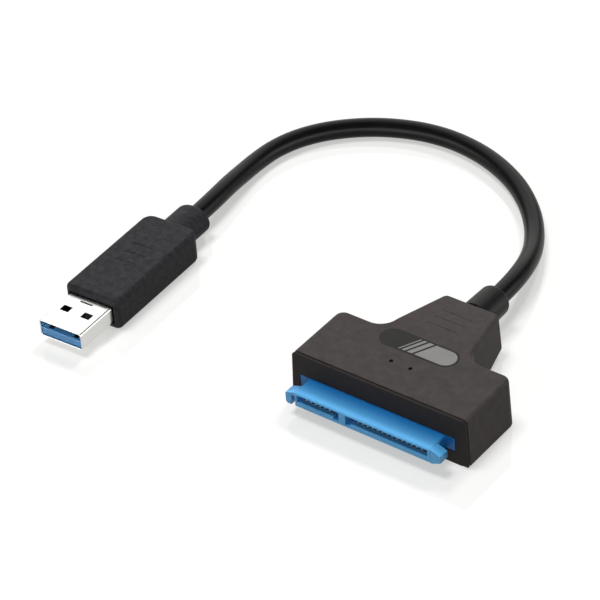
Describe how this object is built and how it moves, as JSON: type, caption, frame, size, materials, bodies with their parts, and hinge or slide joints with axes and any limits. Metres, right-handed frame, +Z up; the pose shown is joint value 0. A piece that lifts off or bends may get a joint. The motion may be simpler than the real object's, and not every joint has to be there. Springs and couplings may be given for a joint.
{
  "type": "usb to sata adapter",
  "caption": "T-shaped drive adapter: flat black housing with a blue edge receptacle and a short round cord to a USB plug.",
  "frame": {"origin": "centre of the housing's, receptacle's and collar's bounding box, at the flat underside it lies on; the free cord and its plug aren't counted", "axes": "+Z up from the surface, +Y from the receptacle's mouth towards the cord's collar, +X across the receptacle to its power side"},
  "size_m": [0.1106, 0.1157, 0.0124],
  "materials": {
    "housing_abs": "satin moulded black, fine texture",
    "bezel_abs": "satin moulded black",
    "receptacle_blue": "smooth moulded bright blue",
    "contact_gold": "thin gold plating on spring alloy",
    "board_green": "solder mask over glass laminate",
    "chip_black": "moulded epoxy",
    "crystal_can": "drawn metal can",
    "inductor_ferrite": "pressed ferrite",
    "capacitor_tan": "sintered ceramic",
    "light_lens": "clear epoxy",
    "relief_black": "soft moulded black",
    "cable_black": "semi-gloss extruded jacket",
    "wire_red": "extruded insulation",
    "wire_white": "extruded insulation",
    "wire_green": "extruded insulation",
    "wire_black": "extruded insulation",
    "wire_tinned": "bare tinned strands",
    "wire_blue": "extruded insulation",
    "wire_yellow": "extruded insulation",
    "wire_purple": "extruded insulation",
    "wire_orange": "extruded insulation",
    "overmould_black": "matte moulded black, fine texture",
    "inner_mould_white": "low-pressure moulding",
    "shell_steel": "folded bright nickel-plated sheet",
    "tongue_blue": "smooth moulded blue"
  },
  "bodies": {
    "root": {"housing_sleeve": "housing_abs", "front_bezel": "bezel_abs", "sata_receptacle": "receptacle_blue", "signal_contact_1": "contact_gold", "signal_contact_2": "contact_gold", "signal_contact_3": "contact_gold", "signal_contact_4": "contact_gold", "signal_contact_5": "contact_gold", "signal_contact_6": "contact_gold", "signal_contact_7": "contact_gold", "power_contact_1": "contact_gold", "power_contact_2": "contact_gold", "power_contact_3": "contact_gold", "power_contact_4": "contact_gold", "power_contact_5": "contact_gold", "power_contact_6": "contact_gold", "power_contact_7": "contact_gold", "power_contact_8": "contact_gold", "power_contact_9": "contact_gold", "power_contact_10": "contact_gold", "power_contact_11": "contact_gold", "power_contact_12": "contact_gold", "power_contact_13": "contact_gold", "power_contact_14": "contact_gold", "power_contact_15": "contact_gold", "circuit_board": "board_green", "bridge_chip": "chip_black", "flash_memory": "chip_black", "voltage_regulator": "chip_black", "crystal": "crystal_can", "power_inductor": "inductor_ferrite", "capacitor_left": "capacitor_tan", "capacitor_right": "capacitor_tan", "power_light": "light_lens", "activity_light": "light_lens", "strain_relief": "relief_black", "cable": "cable_black", "power_wire": "wire_red", "data_minus_wire": "wire_white", "data_plus_wire": "wire_green", "ground_wire": "wire_black", "drain_wire": "wire_tinned", "send_minus_wire": "wire_blue", "send_plus_wire": "wire_yellow", "receive_minus_wire": "wire_purple", "receive_plus_wire": "wire_orange", "usb_overmould": "overmould_black", "usb_inner_mould": "inner_mould_white", "usb_shell": "shell_steel", "usb_tongue": "tongue_blue", "plug_power_contact": "contact_gold", "plug_data_minus_contact": "contact_gold", "plug_data_plus_contact": "contact_gold", "plug_ground_contact": "contact_gold", "plug_send_minus_contact": "contact_gold", "plug_send_plus_contact": "contact_gold", "plug_drain_contact": "contact_gold", "plug_receive_minus_contact": "contact_gold", "plug_receive_plus_contact": "contact_gold"}
  },
  "joints": []
}
